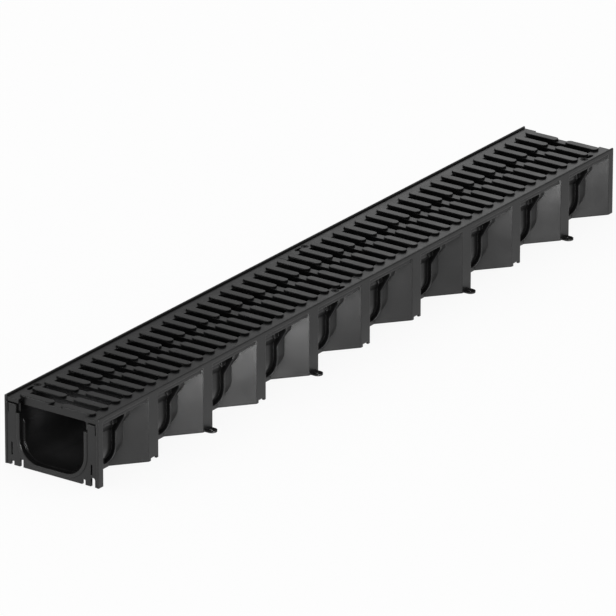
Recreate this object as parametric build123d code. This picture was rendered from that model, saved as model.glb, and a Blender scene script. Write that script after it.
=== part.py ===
"""Channel drain: a metre of moulded trough with two slotted gratings locked into it.

X runs across the channel, Y along it and Z up. The origin is the middle of the footprint, at the
level the channel stands on. Sizes are in millimetres.
"""
import os
from math import atan2, tan

from build123d import *

# overall size
length = 1000.0
width = 125.0
height = 80.0
wall = 2.6              # skirt and rail walls
end_wall = 3.7          # wall across each end

# trough: a U that flares out to carry the ledges
trough_half = 44.2      # half width outside, below the flare
trough_wall = 3.0
trough_floor = 7.5      # top of the floor the water runs on
floor_radius = 24.0     # inside corners of the floor
flare_out = 5.1         # how far the flare widens each side
flare_drop = 21.4       # from the channel's top down to the flare, outside
flare_rise = 8.9        # height of the flare
flare_round = 3.0
mouth_step = 1.9        # how much wider the opening in an end wall is than the bore
mouth_drop = 0.6        # and how much lower its floor
mouth_depth = 7.3
rim_width = 4.0         # raised rim round that opening
rim_height = 0.6

# hexagonal wave skirt down each side
wave_pitch = 100.0
crest_length = 17.0
valley_length = 15.5
wave_depth = 28.3       # from the crest face in to the valley face
foot_notch_height = 3.0
foot_notch_length = 10.0

# rail along each top edge
ledge_drop = 7.0        # from the channel's top down to the ledge that the gratings rest on
ledge_thick = 2.6
bead_height = 5.2       # of the bead on the rail's outer face
bead_depth = 1.3
lip_round = 1.25

# ribs round the trough, one at each valley, that spread at the top to carry the rail
rib_depth = 5.0
rib_thick = 2.6
rib_flare_drop = 13.0   # from the channel's top down to the end of the rib's flare
rib_flare_rise = 20.1

# lock pockets under the ledge, one at each rib
pocket_length = 17.4
pocket_out = 1.4        # beyond the trough's upper wall
pocket_height = 15.7

# fixing eyes at the foot of some crests, counted from the near end
eye_crests = (2, 4, 7, 9)
eye_outer = 12.0
eye_hole = 5.2
eye_thick = 2.0
eye_reach = 5.2         # hole centre beyond the crest face

# near end joint: a snap tongue each side, and notches along the foot
tongue_inner = 47.5     # distance from the middle to the tongue's inner edge
tongue_outer = 57.8
tongue_length = 12.5
tongue_gap = 1.0
tongue_head_gap = 1.3   # between the tongue's top and the grating
foot_cuts = ((-53.0, 4.5, 5.5, 1.0), (-40.7, 4.4, 10.0, 1.0),
             (42.3, 4.4, 6.0, 1.0), (54.5, 5.6, 10.5, 2.7))    # middle, width, height, top radius
foot_slits = ((-53.7, 2.2, 12.0, 26.5), (52.8, 2.2, 13.5, 25.5))    # middle, width, from, to

# gratings: a slotted plate with raised bars, two to the metre
cap_height = 2.2        # the raised bars above the plate
bar_width = 9.8
bar_depth = 7.8         # below the plate's top
slot_pitch = 21.65
slot_half = 44.3        # from the middle to a slot's end
slot_corner = 4.0
cap_inner = 6.0         # a raised bar's tips, from the middle
cap_outer = 49.5
cap_round = 0.6
lip_gap = 0.5           # between the grating's edge and the lip
end_gap = 0.8           # between the grating's end and the channel's end
joint_gap = 0.6         # between the two gratings
bar_gap = 0.7           # between a bar's end and the trough
leg_slot_half = 47.8    # half width of the slots that the grating's legs go down into
leg_slot_depth = 11.0   # below the ledge
leg_width = 3.4         # the grating's locating legs, just inside the channel's end
leg_thick = 2.6
leg_gap = 0.5

# locks: a headed fastener in two corners of each grating, with a lifting notch beside it
lock_inset = 45.0       # from the grating's end
lock_side = 52.5        # from the middle
head_diameter = 7.6
head_height = 2.2
head_gap = 0.4
shank_diameter = 3.0
shank_gap = 0.05
shank_length = 12.6     # below the head
boss_diameter = 6.8
boss_height = 13.0
socket_width = 3.0      # hexagon socket in the head, across its flats
socket_sink = 1.4
notch_length = 12.0
notch_width = 5.0
notch_depth = 2.4
notch_from_lock = 11.5

# worked out from the sizes above
half_width = width / 2
half_length = length / 2
shoulder_half = trough_half + flare_out
lip_inner = half_width - wall
flare_high = height - flare_drop
flare_low = flare_high - flare_rise
ledge_top = height - ledge_drop
ledge_bottom = ledge_top - ledge_thick
bead_bottom = height - bead_height
plate_top = height - cap_height
bar_bottom = plate_top - bar_depth
shank_bottom = plate_top - head_height - shank_length
trough_bottom = trough_floor - trough_wall
floor_corner = floor_radius + trough_wall
slot_width = slot_pitch - bar_width
grating_half = lip_inner - lip_gap
mouth_half = shoulder_half - trough_wall
crests = round(length / wave_pitch) + 1
bars = int((half_length - end_gap) / slot_pitch)    # in one grating
sides = (-1, 1)


def box(x_low, x_high, y_low, y_high, z_low, z_high):
    """A block between two corners."""
    middle = ((x_low + x_high) / 2, (y_low + y_high) / 2, (z_low + z_high) / 2)
    return Pos(*middle) * Box(x_high - x_low, y_high - y_low, z_high - z_low)


def both_sides(solid):
    """The solid and its mirror image across the channel."""
    return [solid, mirror(solid, Plane.YZ)]


def crest_place(number):
    """Where a crest's middle lies along the channel; number 0 is at the near end."""
    return (number - (crests - 1) / 2) * wave_pitch


def valley_place(number):
    """Where the valley after a crest has its middle."""
    return crest_place(number) + wave_pitch / 2


def flared_section(shoulder, high, half, low, floor, corner, top):
    """A U across the channel: upright below low, spreading to the shoulder at high, flat on top."""
    right = [(shoulder, top), (shoulder, high), (half, low), (half, floor)]
    left = [(-x, z) for x, z in reversed(right)]
    rounds = [flare_round, flare_round, corner, corner, flare_round, flare_round]
    side = FilletPolyline(*right, *left, radius=rounds)
    return Plane.XZ * make_face(side + Line(side @ 1, side @ 0))


def trough_section(inset, top):
    """The trough's outline, moved in from its outer face by inset and closed at the top."""
    rise = inset * tan(atan2(flare_out, flare_rise) / 2)
    return flared_section(shoulder_half - inset, flare_high + rise, trough_half - inset, flare_low + rise,
                          trough_bottom + inset, floor_corner - inset, top)


def mouth_block(margin, y_low, y_high):
    """The plain U opening in an end wall, as a block; margin makes it that much larger all round."""
    half = trough_half - trough_wall + mouth_step + margin
    bottom = trough_floor - mouth_drop - margin
    block = box(-half, half, y_low, y_high, bottom, ledge_top)
    corners = block.edges().filter_by(Axis.Y).group_by(Axis.Z)[0]
    return fillet(corners, floor_radius + mouth_step + margin)


def along(section, y_low, y_high):
    """A section across the channel, run from one place along it to another."""
    return Pos(0, y_high, 0) * extrude(section, y_high - y_low)


def wave_line(inset):
    """The skirt's wave in plan on the +X side, moved in from its outer face by inset."""
    run = (wave_pitch - crest_length - valley_length) / 2
    shift = inset * tan(atan2(wave_depth, run) / 2)
    crest_x = half_width - inset
    valley_x = crest_x - wave_depth
    points = []
    for number in range(crests):
        for offset in (-1, 1):
            points.append((crest_x, crest_place(number) + offset * (crest_length / 2 - shift)))
        if number < crests - 1:
            for offset in (-1, 1):
                points.append((valley_x, valley_place(number) + offset * (valley_length / 2 + shift)))
    return points


def skirt():
    """The wave wall down the +X side, from the ground to the bead."""
    outline = wave_line(0) + wave_line(wall)[::-1]
    band = extrude(make_face(Polyline(*outline, close=True)), bead_bottom)
    return band & box(0, width, -half_length, half_length, 0, height)


def rail():
    """The ledge and lip along the +X side."""
    ledge = box(mouth_half, half_width - bead_depth, -half_length, half_length, ledge_bottom, ledge_top)
    upright = box(lip_inner, half_width - bead_depth, -half_length, half_length, ledge_bottom, height - lip_round)
    lip = box(lip_inner, half_width, -half_length, half_length, bead_bottom, height)
    top_edges = lip.edges().filter_by(Axis.Y).group_by(Axis.Z)[-1]
    return ledge + upright + fillet(top_edges, lip_round)


def rib(place):
    """The hoop round the trough at a valley, reaching out to the rail, with its two lock pockets."""
    high = height - rib_flare_drop
    section = flared_section(half_width - bead_depth, high, trough_half + rib_depth, high - rib_flare_rise,
                             0, floor_corner + rib_depth, ledge_bottom)
    outer = shoulder_half + pocket_out
    pockets = box(-outer, outer, place - pocket_length / 2, place + pocket_length / 2,
                  ledge_top - pocket_height, ledge_top)
    return along(section, place - rib_thick / 2, place + rib_thick / 2) + pockets


def fixing_eye(place):
    """The flat ring at the foot of a +X crest, joined to it by a tongue."""
    middle = half_width + eye_reach
    ring = Pos(middle, place, eye_thick / 2) * Cylinder(eye_outer / 2, eye_thick)
    neck = box(half_width - wall, middle, place - eye_outer / 2, place + eye_outer / 2, 0, eye_thick)
    hole = Pos(middle, place, eye_thick / 2) * Cylinder(eye_hole / 2, eye_thick)
    return ring + neck - hole


def lock_places():
    """Where the four locks stand: side, then place along the channel."""
    inner = joint_gap / 2 + lock_inset
    outer = half_length - end_gap - lock_inset
    return [(-lock_side, -outer), (lock_side, -inner), (-lock_side, inner), (lock_side, outer)]


def near_joint_cuts():
    """The snap tongues' gaps and the notches and slits at the foot of the near end."""
    front = -half_length
    back = front + end_wall
    groove_edge = tongue_outer + tongue_gap
    head = box(tongue_inner, groove_edge, front, back, ledge_top - tongue_head_gap, ledge_top)
    groove = box(tongue_outer, groove_edge, front, back, ledge_top - tongue_length, ledge_top)
    cuts = both_sides(head + groove)
    for middle, cut_width, cut_height, radius in foot_cuts:
        arch = box(middle - cut_width / 2, middle + cut_width / 2, front, back, 0, cut_height)
        cuts.append(fillet(arch.edges().filter_by(Axis.Y).group_by(Axis.Z)[-1], radius))
    for middle, cut_width, low, high in foot_slits:
        cuts.append(box(middle - cut_width / 2, middle + cut_width / 2, front, back, low, high))
    return cuts


def channel_body():
    """The whole channel, one moulding."""
    near, far = -half_length, half_length
    turned = Rot(0, 0, 180)
    wall_front = near + rim_height
    end = box(-half_width, half_width, wall_front, near + end_wall, 0, ledge_top)
    end += mouth_block(rim_width, near, wall_front) & box(
        -width, width, near, wall_front, 0, ledge_top - leg_slot_depth)
    end += along(trough_section(-mouth_step, ledge_top), wall_front, near + mouth_depth + trough_wall)
    solid = along(trough_section(0, ledge_top), wall_front, -wall_front) + [end, turned * end]
    solid += both_sides(skirt()) + both_sides(rail())
    for number in range(crests - 1):
        solid += rib(valley_place(number))
    for side, place in lock_places():
        solid += Pos(side, place, ledge_top - boss_height / 2) * Cylinder(boss_diameter / 2, boss_height)
    for number in range(1, crests - 1):
        place = crest_place(number)
        if number in eye_crests:
            solid += both_sides(fixing_eye(place))
        else:
            notch = box(half_width - wall, half_width, place - foot_notch_length / 2,
                        place + foot_notch_length / 2, 0, foot_notch_height)
            solid -= both_sides(notch)
    solid -= box(-lip_inner, lip_inner, near, far, ledge_top, height)
    solid -= along(trough_section(trough_wall, height), near + end_wall, far - end_wall)
    mouth = mouth_block(0, near, near + mouth_depth)
    mouth += box(-leg_slot_half, leg_slot_half, near, near + mouth_depth, ledge_top - leg_slot_depth, ledge_top)
    solid -= [mouth, turned * mouth]
    solid -= near_joint_cuts()
    for side, place in lock_places():
        solid -= Pos(side, place, (shank_bottom + ledge_top) / 2) * Cylinder(
            shank_diameter / 2 + shank_gap, ledge_top - shank_bottom)
    return solid


def slot_row():
    """The slots of one grating; the first lies over the joint, so each grating has half of it."""
    shape = fillet(Rectangle(2 * slot_half, slot_width).vertices(), slot_corner)
    cutter = Pos(0, 0, bar_bottom) * extrude(shape, plate_top - bar_bottom)
    return [Pos(0, -number * slot_pitch, 0) * cutter for number in range(bars)]


def bar_place(number):
    """Where a bar's middle lies in the front grating, counted from the joint."""
    return -(number + 0.5) * slot_pitch


def grating():
    """The front grating: rails on the ledges, bars across, and a raised cap on each half bar."""
    near = -half_length + end_gap
    far = -joint_gap / 2
    bar_half = mouth_half - bar_gap
    last = bar_place(bars - 1) - bar_width / 2
    first = bar_place(0) + bar_width / 2
    solid = box(-grating_half, grating_half, near, far, ledge_top, plate_top)
    solid += box(-bar_half, bar_half, last, first, bar_bottom, ledge_top)
    solid -= slot_row()
    solid -= box(-slot_half, slot_half, near, last, bar_bottom, plate_top)
    straight = cap_outer - cap_inner - bar_width
    cap = extrude(SlotCenterToCenter(straight, bar_width), height - plate_top)
    cap = fillet(cap.edges().group_by(Axis.Z)[-1], cap_round)
    for number in range(bars):
        for side in sides:
            solid += Pos(side * (cap_inner + cap_outer) / 2, bar_place(number), plate_top) * cap
    leg_outer = leg_slot_half - leg_gap
    leg_front = end_wall - half_length
    solid += both_sides(box(leg_outer - leg_width, leg_outer, leg_front, leg_front + leg_thick,
                            ledge_top - leg_slot_depth + leg_gap, ledge_top))
    for side, place in lock_places()[:2]:
        toward_end = -1 if place < near / 2 else 1
        solid -= Pos(side, place, plate_top - head_height / 2) * Cylinder(
            head_diameter / 2 + head_gap, head_height)
        solid -= Pos(side, place, (ledge_top + plate_top) / 2) * Cylinder(
            shank_diameter / 2 + shank_gap, plate_top - ledge_top)
        notch = Rot(0, 0, 90) * SlotOverall(notch_length, notch_width)
        solid -= Pos(side, place + toward_end * notch_from_lock, plate_top - notch_depth) * extrude(
            notch, notch_depth)
    return solid


def lock_screw():
    """A lock: a low round head with a hexagon socket, and its shank."""
    seat = plate_top - head_height
    head = Pos(0, 0, seat + head_height / 2) * Cylinder(head_diameter / 2, head_height)
    head = chamfer(head.edges().group_by(Axis.Z)[-1], head_gap)
    shank = Pos(0, 0, (shank_bottom + seat) / 2) * Cylinder(shank_diameter / 2, seat - shank_bottom)
    recess = extrude(RegularPolygon(socket_width / 2, 6, major_radius=False), socket_sink)
    return head + shank - Pos(0, 0, plate_top - socket_sink) * recess


def write(name, solid):
    """Writes one sub-part."""
    export_step(solid, f"parts/{name}.step")
    print(name, len(solid.solids()), round(solid.volume))


os.makedirs("parts", exist_ok=True)
front = grating()
screw = lock_screw()
write("channel_body", channel_body())
write("grating_front", front)
write("grating_rear", Rot(0, 0, 180) * front)
for number, (side, place) in enumerate(lock_places(), start=1):
    write(f"lock_screw_{number}", Pos(side, place, 0) * screw)
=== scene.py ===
import math

import bpy
from mathutils import Matrix, Vector

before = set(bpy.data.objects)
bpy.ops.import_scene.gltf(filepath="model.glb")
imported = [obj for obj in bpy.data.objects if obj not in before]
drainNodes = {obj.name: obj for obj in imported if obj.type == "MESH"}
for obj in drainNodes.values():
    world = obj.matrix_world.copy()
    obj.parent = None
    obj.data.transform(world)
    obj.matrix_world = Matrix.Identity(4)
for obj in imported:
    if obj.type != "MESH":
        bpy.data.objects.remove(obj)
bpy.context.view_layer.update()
print("frame loaded:", len(drainNodes), "pieces")


# camera, at the photograph's angle

cameraSettings = {
    "place": (5.20590, -7.41917, 3.66628),   # metres, in the part's frame
    "azimuth": 35.1385,                      # degrees round from the near end
    "elevation": 21.8587,
    "roll": 0.066,
    "lens": 511.56, "sensor": 36.0,          # a long lens, both in millimetres
    "clipStart": 0.5, "clipEnd": 100,
}


def placeCamera(settings):
    around = math.radians(settings["azimuth"])
    above = math.radians(settings["elevation"])
    back = Vector((math.sin(around) * math.cos(above), -math.cos(around) * math.cos(above), math.sin(above)))
    right = Vector((0, 0, 1)).cross(back).normalized()
    up = back.cross(right)
    turn = Matrix((right, up, back)).transposed() @ Matrix.Rotation(math.radians(settings["roll"]), 3, "Z")
    lensData = bpy.data.cameras.new("photoCamera")
    lensData.lens = settings["lens"]
    lensData.sensor_width = settings["sensor"]
    lensData.sensor_fit = "HORIZONTAL"
    lensData.clip_start = settings["clipStart"]
    lensData.clip_end = settings["clipEnd"]
    camera = bpy.data.objects.new("photoCamera", lensData)
    camera.matrix_world = Matrix.Translation(settings["place"]) @ turn.to_4x4()
    bpy.context.collection.objects.link(camera)
    bpy.context.scene.camera = camera


placeCamera(cameraSettings)
print("camera placed")


# node helpers

def newMaterial(name):
    material = bpy.data.materials.new(name)
    material.use_nodes = True
    tree = material.node_tree
    tree.nodes.clear()
    return material, tree


def addNode(tree, kind, **sockets):
    node = tree.nodes.new(kind)
    for name, value in sockets.items():
        node.inputs[name].default_value = value
    return node


def join(tree, fromNode, fromSocket, toNode, toSocket):
    tree.links.new(fromNode.outputs[fromSocket], toNode.inputs[toSocket])


def span(tree, source, socket, low, high, fromLow=0.0, fromHigh=1.0):   # stretches a value onto a new range
    node = tree.nodes.new("ShaderNodeMapRange")
    node.inputs["From Min"].default_value = fromLow
    node.inputs["From Max"].default_value = fromHigh
    node.inputs["To Min"].default_value = low
    node.inputs["To Max"].default_value = high
    join(tree, source, socket, node, "Value")
    return node


def combine(tree, operation, first, firstSocket, second, secondSocket):   # one value worked out from two
    node = addNode(tree, "ShaderNodeMath")
    node.operation = operation
    join(tree, first, firstSocket, node, 0)
    join(tree, second, secondSocket, node, 1)
    return node


def noise(tree, place, scale, detail, roughness):
    node = addNode(tree, "ShaderNodeTexNoise", Scale=scale, Detail=detail, Roughness=roughness)
    join(tree, place, "Object", node, "Vector")
    return node


# black moulded plastic

everyPlastic = {                             # what the three finishes share
    "ior": 1.45,
    "flatShine": 0.5,                        # light returned on the flat
    "flowDetail": 3.0, "flowRoughness": 0.5,
    "grainDetail": 2.0, "grainRoughness": 0.6,
    "edgeFrom": 0.45, "edgeTo": 0.95,        # how open it is inside the skin, at a corner and on the flat
    "openFrom": 0.50, "openTo": 0.92,        # how open it is outside, deep in a recess and in the open, which sets the painted shade
    "wornFrom": 0.35, "wornTo": 0.68,        # stretch of the flow over which the colour changes
    "roughFrom": 0.3, "roughTo": 0.7,        # stretch of the flow over which the roughness changes
    "samples": 4,                            # rays for the edge mask, the open mask and the soft corners
}
channelPlastic = {
    "name": "blackChannelPlastic",
    "deep": (0.0040, 0.0040, 0.0041, 1),     # colour where the skin is smoothest
    "wearAndHighlight": (0.0080, 0.0080, 0.0082, 1),     # colour where it has been rubbed, also laid on the corners as wear and partly a painted highlight
    "roughLow": 0.28, "roughHigh": 0.34,
    "grain": 2600, "grainHeight": 0.00002,   # fine moulded texture, in cells per metre and metres
    "flow": 26, "flowHeight": 0.0003,        # slow unevenness of the moulding
    "softEdge": 0.0020,                      # how far the corners look rounded, in metres
    "edge": 0.0011, "edgeShine": 0.53,       # width of the lighter edges, worn and partly a painted highlight, and how much light they return
    "recess": 0.014, "recessShadeShine": 0.10,    # reach of the painted shade in recesses, and the light returned there
}
gratingPlastic = {
    "name": "blackGratingPlastic",
    "deep": (0.0030, 0.0030, 0.0031, 1),
    "wearAndHighlight": (0.0060, 0.0060, 0.0062, 1),
    "roughLow": 0.27, "roughHigh": 0.33,
    "grain": 3000, "grainHeight": 0.00002,
    "flow": 40, "flowHeight": 0.0002,
    "softEdge": 0.0011,
    "edge": 0.0009, "edgeShine": 0.53,
    "recess": 0.025, "recessShadeShine": 0.02,
}
lockPlastic = {
    "name": "blackLockPlastic",
    "deep": (0.0050, 0.0050, 0.0052, 1),
    "wearAndHighlight": (0.0100, 0.0100, 0.0103, 1),
    "roughLow": 0.25, "roughHigh": 0.34,
    "grain": 3400, "grainHeight": 0.000015,
    "flow": 60, "flowHeight": 0.0001,
    "softEdge": 0.0003,
    "edge": 0.0005, "edgeShine": 0.55,
    "recess": 0.004, "recessShadeShine": 0.10,
    "ringFrom": 0.18, "ringTo": 0.42,        # the ring of painted shade round the socket, in parts of the head's width
    "ringSoft": 0.02,                        # how far each side of the ring fades
    "ringShadeShine": 0.03,
}


def mouldedPlastic(settings):
    material, tree = newMaterial(settings["name"])
    output = addNode(tree, "ShaderNodeOutputMaterial")
    shader = addNode(tree, "ShaderNodeBsdfPrincipled", IOR=everyPlastic["ior"])
    place = addNode(tree, "ShaderNodeTexCoord")
    flow = noise(tree, place, settings["flow"], everyPlastic["flowDetail"], everyPlastic["flowRoughness"])
    grain = noise(tree, place, settings["grain"], everyPlastic["grainDetail"], everyPlastic["grainRoughness"])
    atEdge = edgeMask(tree, settings["edge"])
    inOpen = openMask(tree, settings["recess"])

    # colour: random rubbed patches, and lighter corners that are wear and partly a painted highlight
    colour = addNode(tree, "ShaderNodeMix")
    colour.data_type = "RGBA"
    colour.inputs["A"].default_value = settings["deep"]
    colour.inputs["B"].default_value = settings["wearAndHighlight"]
    rubbed = span(tree, flow, "Fac", 0.0, 1.0, everyPlastic["wornFrom"], everyPlastic["wornTo"])
    either = combine(tree, "MAXIMUM", rubbed, "Result", atEdge, "Result")
    join(tree, either, "Value", colour, "Factor")
    join(tree, colour, 2, shader, "Base Color")   # the mix's colour output, one of four called Result

    shine = span(tree, atEdge, "Result", everyPlastic["flatShine"], settings["edgeShine"])
    # painted shade: the shine drops deep in slots, pockets and recesses
    shineWithShade = addNode(tree, "ShaderNodeMix")
    shineWithShade.inputs["A"].default_value = settings["recessShadeShine"]
    join(tree, inOpen, "Result", shineWithShade, "Factor")
    join(tree, shine, "Result", shineWithShade, "B")
    if "ringShadeShine" in settings:
        shineWithShade = shadedRing(tree, settings, place, shineWithShade)
    join(tree, shineWithShade, "Result", shader, "Specular IOR Level")

    rough = span(tree, flow, "Fac", settings["roughHigh"], settings["roughLow"],
                 everyPlastic["roughFrom"], everyPlastic["roughTo"])
    join(tree, rough, "Result", shader, "Roughness")

    softened = addNode(tree, "ShaderNodeBevel", Radius=settings["softEdge"])
    softened.samples = everyPlastic["samples"]
    slow = addNode(tree, "ShaderNodeBump", Strength=1.0, Distance=settings["flowHeight"])
    fine = addNode(tree, "ShaderNodeBump", Strength=1.0, Distance=settings["grainHeight"])
    join(tree, flow, "Fac", slow, "Height")
    join(tree, grain, "Fac", fine, "Height")
    join(tree, softened, "Normal", slow, "Normal")
    join(tree, slow, "Normal", fine, "Normal")
    join(tree, fine, "Normal", shader, "Normal")
    join(tree, shader, "BSDF", output, "Surface")
    return material


def edgeMask(tree, width):                   # 1 along an outer corner, 0 on the flat
    inward = addNode(tree, "ShaderNodeAmbientOcclusion", Distance=width)
    inward.samples = everyPlastic["samples"]
    inward.inside = True
    return span(tree, inward, "AO", 1.0, 0.0, everyPlastic["edgeFrom"], everyPlastic["edgeTo"])


def openMask(tree, reach):                   # 0 deep in a slot or pocket, 1 in the open: where the painted shade falls
    outward = addNode(tree, "ShaderNodeAmbientOcclusion", Distance=reach)
    outward.samples = everyPlastic["samples"]
    outward.only_local = True
    return span(tree, outward, "AO", 0.0, 1.0, everyPlastic["openFrom"], everyPlastic["openTo"])


def shadedRing(tree, settings, place, shine):  # painted shade: less shine in a ring round the socket of a lock's head, for the shadow of the gap round the head
    middle = addNode(tree, "ShaderNodeVectorMath")
    middle.operation = "SUBTRACT"
    middle.inputs[1].default_value = (0.5, 0.5, 0)
    join(tree, place, "Generated", middle, 0)
    level = addNode(tree, "ShaderNodeVectorMath")
    level.operation = "MULTIPLY"
    level.inputs[1].default_value = (1, 1, 0)
    join(tree, middle, "Vector", level, 0)
    distance = addNode(tree, "ShaderNodeVectorMath")
    distance.operation = "LENGTH"
    join(tree, level, "Vector", distance, 0)
    soft = settings["ringSoft"]
    inner = span(tree, distance, "Value", 0.0, 1.0, settings["ringFrom"] - soft, settings["ringFrom"] + soft)
    outer = span(tree, distance, "Value", 1.0, 0.0, settings["ringTo"] - soft, settings["ringTo"] + soft)
    inRing = combine(tree, "MULTIPLY", inner, "Result", outer, "Result")
    ringed = addNode(tree, "ShaderNodeMix")
    ringed.inputs["B"].default_value = settings["ringShadeShine"]
    join(tree, inRing, "Value", ringed, "Factor")
    join(tree, shine, "Result", ringed, "A")
    return ringed


def dress(node, material):
    node.data.materials.clear()
    node.data.materials.append(material)


channelSkin = mouldedPlastic(channelPlastic)
gratingSkin = mouldedPlastic(gratingPlastic)
lockSkin = mouldedPlastic(lockPlastic)
dress(drainNodes["channel_body"], channelSkin)
dress(drainNodes["grating_front"], gratingSkin)
dress(drainNodes["grating_rear"], gratingSkin)
for number in (1, 2, 3, 4):
    dress(drainNodes[f"lock_screw_{number}"], lockSkin)
print("plastics given")


# floor, white surroundings and lamps

floorSettings = {
    "half": 9.0,                             # metres from the middle to an edge
    "height": -0.0002,                       # a hair under the drain's foot
    "colour": (0.92, 0.92, 0.92, 1),
    "seenWhite": 0.9,                        # share of plain white seen by the camera, the rest being paint
    "glossLeft": 1.00, "glossRight": 0.66,   # how bright that white is in the plastic's gloss, left and right
    "glossFrom": 0.0, "glossTo": 0.12,       # metres across, where it begins and stops changing
}
worldSettings = {
    "light": 0.9,                            # strength of the soft light all round, which colours are seen by
    "seen": 1.0,                             # plain white, as the camera sees it
    "low": 0.32, "high": 0.36,               # what gloss sees at the skyline and above
    "highFrom": 0.30,                        # sine of the height from which it sees the upper value
}
lampSettings = [                             # lengths in metres, spread in degrees, power in watts
    {
        "name": "sideLamp", "lights": "gloss",           # low, beside the near half
        "place": (0.35, -0.335, 0.048), "aim": (0.05, -0.20, 0.04),
        "wide": 0.30, "tall": 0.09, "spread": 85, "power": 0.82,
    },
    {
        "name": "farSideLamp", "lights": "gloss",        # low, beside the far half
        "place": (0.35, 0.29, 0.048), "aim": (0.05, 0.42, 0.04),
        "wide": 0.26, "tall": 0.09, "spread": 85, "power": 0.46,
    },
    {
        "name": "rightLamp", "lights": "gloss",          # wide and further off
        "place": (1.25, -0.85, 0.20), "aim": (0.03, -0.05, 0.04),
        "wide": 2.2, "tall": 0.38, "spread": 180, "power": 40.0,
        "onto": ["channel_body"],                        # it would glare on the gratings, seen from the left
    },
    {
        "name": "backLamp", "lights": "gloss",           # behind the far end
        "place": (-1.05, 2.10, 0.85), "aim": (0.0, 0.40, 0.08),
        "wide": 0.9, "tall": 0.9, "spread": 180, "power": 1.4,
    },
    {
        "name": "frontLamp", "lights": "gloss",          # in front of the near end
        "place": (-0.55, -1.25, 0.24), "aim": (0.0, -0.5, 0.04),
        "wide": 0.3, "tall": 0.3, "spread": 180, "power": 1.6,
    },
    {
        "name": "mouthLamp", "lights": "colour",         # just inside the mouth
        "place": (0.0, -0.482, 0.055), "aim": (-0.01, -0.36, 0.02),
        "wide": 0.06, "tall": 0.02, "spread": 180, "power": 0.055,
    },
]


def whenSeen(tree, rays, camera, cameraSocket):   # the camera's value, or 1 for glossy and transmission rays
    either = combine(tree, "MAXIMUM", camera, cameraSocket, rays, "Is Glossy Ray")
    return combine(tree, "MAXIMUM", either, "Value", rays, "Is Transmission Ray")


def whiteFloor(settings):
    material, tree = newMaterial("whiteFloor")
    output = addNode(tree, "ShaderNodeOutputMaterial")
    paint = addNode(tree, "ShaderNodeBsdfDiffuse", Color=settings["colour"])
    glow = addNode(tree, "ShaderNodeEmission", Color=(1, 1, 1, 1))
    rays = addNode(tree, "ShaderNodeLightPath")
    ground = addNode(tree, "ShaderNodeTexCoord")
    parts = addNode(tree, "ShaderNodeSeparateXYZ")
    join(tree, ground, "Object", parts, "Vector")
    fade = span(tree, parts, "X", settings["glossLeft"], settings["glossRight"],
                settings["glossFrom"], settings["glossTo"])
    bright = addNode(tree, "ShaderNodeMix")
    bright.inputs["A"].default_value = 1.0
    join(tree, rays, "Is Glossy Ray", bright, "Factor")
    join(tree, fade, "Result", bright, "B")
    join(tree, bright, "Result", glow, "Strength")
    share = span(tree, rays, "Is Camera Ray", 0.0, settings["seenWhite"])
    blend = addNode(tree, "ShaderNodeMixShader")
    join(tree, whenSeen(tree, rays, share, "Result"), "Value", blend, 0)
    join(tree, paint, "BSDF", blend, 1)
    join(tree, glow, "Emission", blend, 2)
    join(tree, blend, "Shader", output, "Surface")
    return material


def layFloor(settings):
    half = settings["half"]
    corners = [(-half, -half, 0), (half, -half, 0), (half, half, 0), (-half, half, 0)]
    mesh = bpy.data.meshes.new("floorSheet")
    mesh.from_pydata(corners, [], [(0, 1, 2, 3)])
    mesh.materials.append(whiteFloor(settings))
    floor = bpy.data.objects.new("floorSheet", mesh)
    floor.location.z = settings["height"]
    bpy.context.collection.objects.link(floor)


def lightWorld(settings):
    world = bpy.data.worlds.new("whiteRoom")
    world.use_nodes = True
    bpy.context.scene.world = world
    tree = world.node_tree
    tree.nodes.clear()
    output = addNode(tree, "ShaderNodeOutputWorld")
    room = addNode(tree, "ShaderNodeBackground", Color=(1, 1, 1, 1))
    rays = addNode(tree, "ShaderNodeLightPath")
    toward = addNode(tree, "ShaderNodeTexCoord")
    parts = addNode(tree, "ShaderNodeSeparateXYZ")
    join(tree, toward, "Generated", parts, "Vector")
    skyline = span(tree, parts, "Z", settings["low"], settings["high"], 0.0, settings["highFrom"])
    seen = whenSeen(tree, rays, rays, "Is Camera Ray")
    plain = span(tree, seen, "Value", settings["light"], settings["seen"])
    choice = addNode(tree, "ShaderNodeMix")
    join(tree, rays, "Is Glossy Ray", choice, "Factor")
    join(tree, plain, "Result", choice, "A")
    join(tree, skyline, "Result", choice, "B")
    join(tree, choice, "Result", room, "Strength")
    join(tree, room, "Background", output, "Surface")


def hangLamp(settings):
    lamp = bpy.data.lights.new(settings["name"], "AREA")
    lamp.shape = "ELLIPSE"
    lamp.size = settings["wide"]
    lamp.size_y = settings["tall"]
    lamp.spread = math.radians(settings["spread"])
    lamp.energy = settings["power"]
    holder = bpy.data.objects.new(settings["name"], lamp)
    holder.location = settings["place"]
    away = Vector(settings["place"]) - Vector(settings["aim"])
    holder.rotation_euler = away.to_track_quat("Z", "Y").to_euler()
    holder.visible_camera = False
    holder.visible_diffuse = settings["lights"] == "colour"
    holder.visible_glossy = settings["lights"] == "gloss"
    if "onto" in settings:                   # the lamp lights only these pieces
        lit = bpy.data.collections.new(settings["name"] + "Pieces")
        for name in settings["onto"]:
            lit.objects.link(drainNodes[name])
        holder.light_linking.receiver_collection = lit
    bpy.context.collection.objects.link(holder)


layFloor(floorSettings)
lightWorld(worldSettings)
for lampSetting in lampSettings:
    hangLamp(lampSetting)
bpy.context.scene.view_settings.view_transform = "Standard"
print("floor, surroundings and lamps ready")
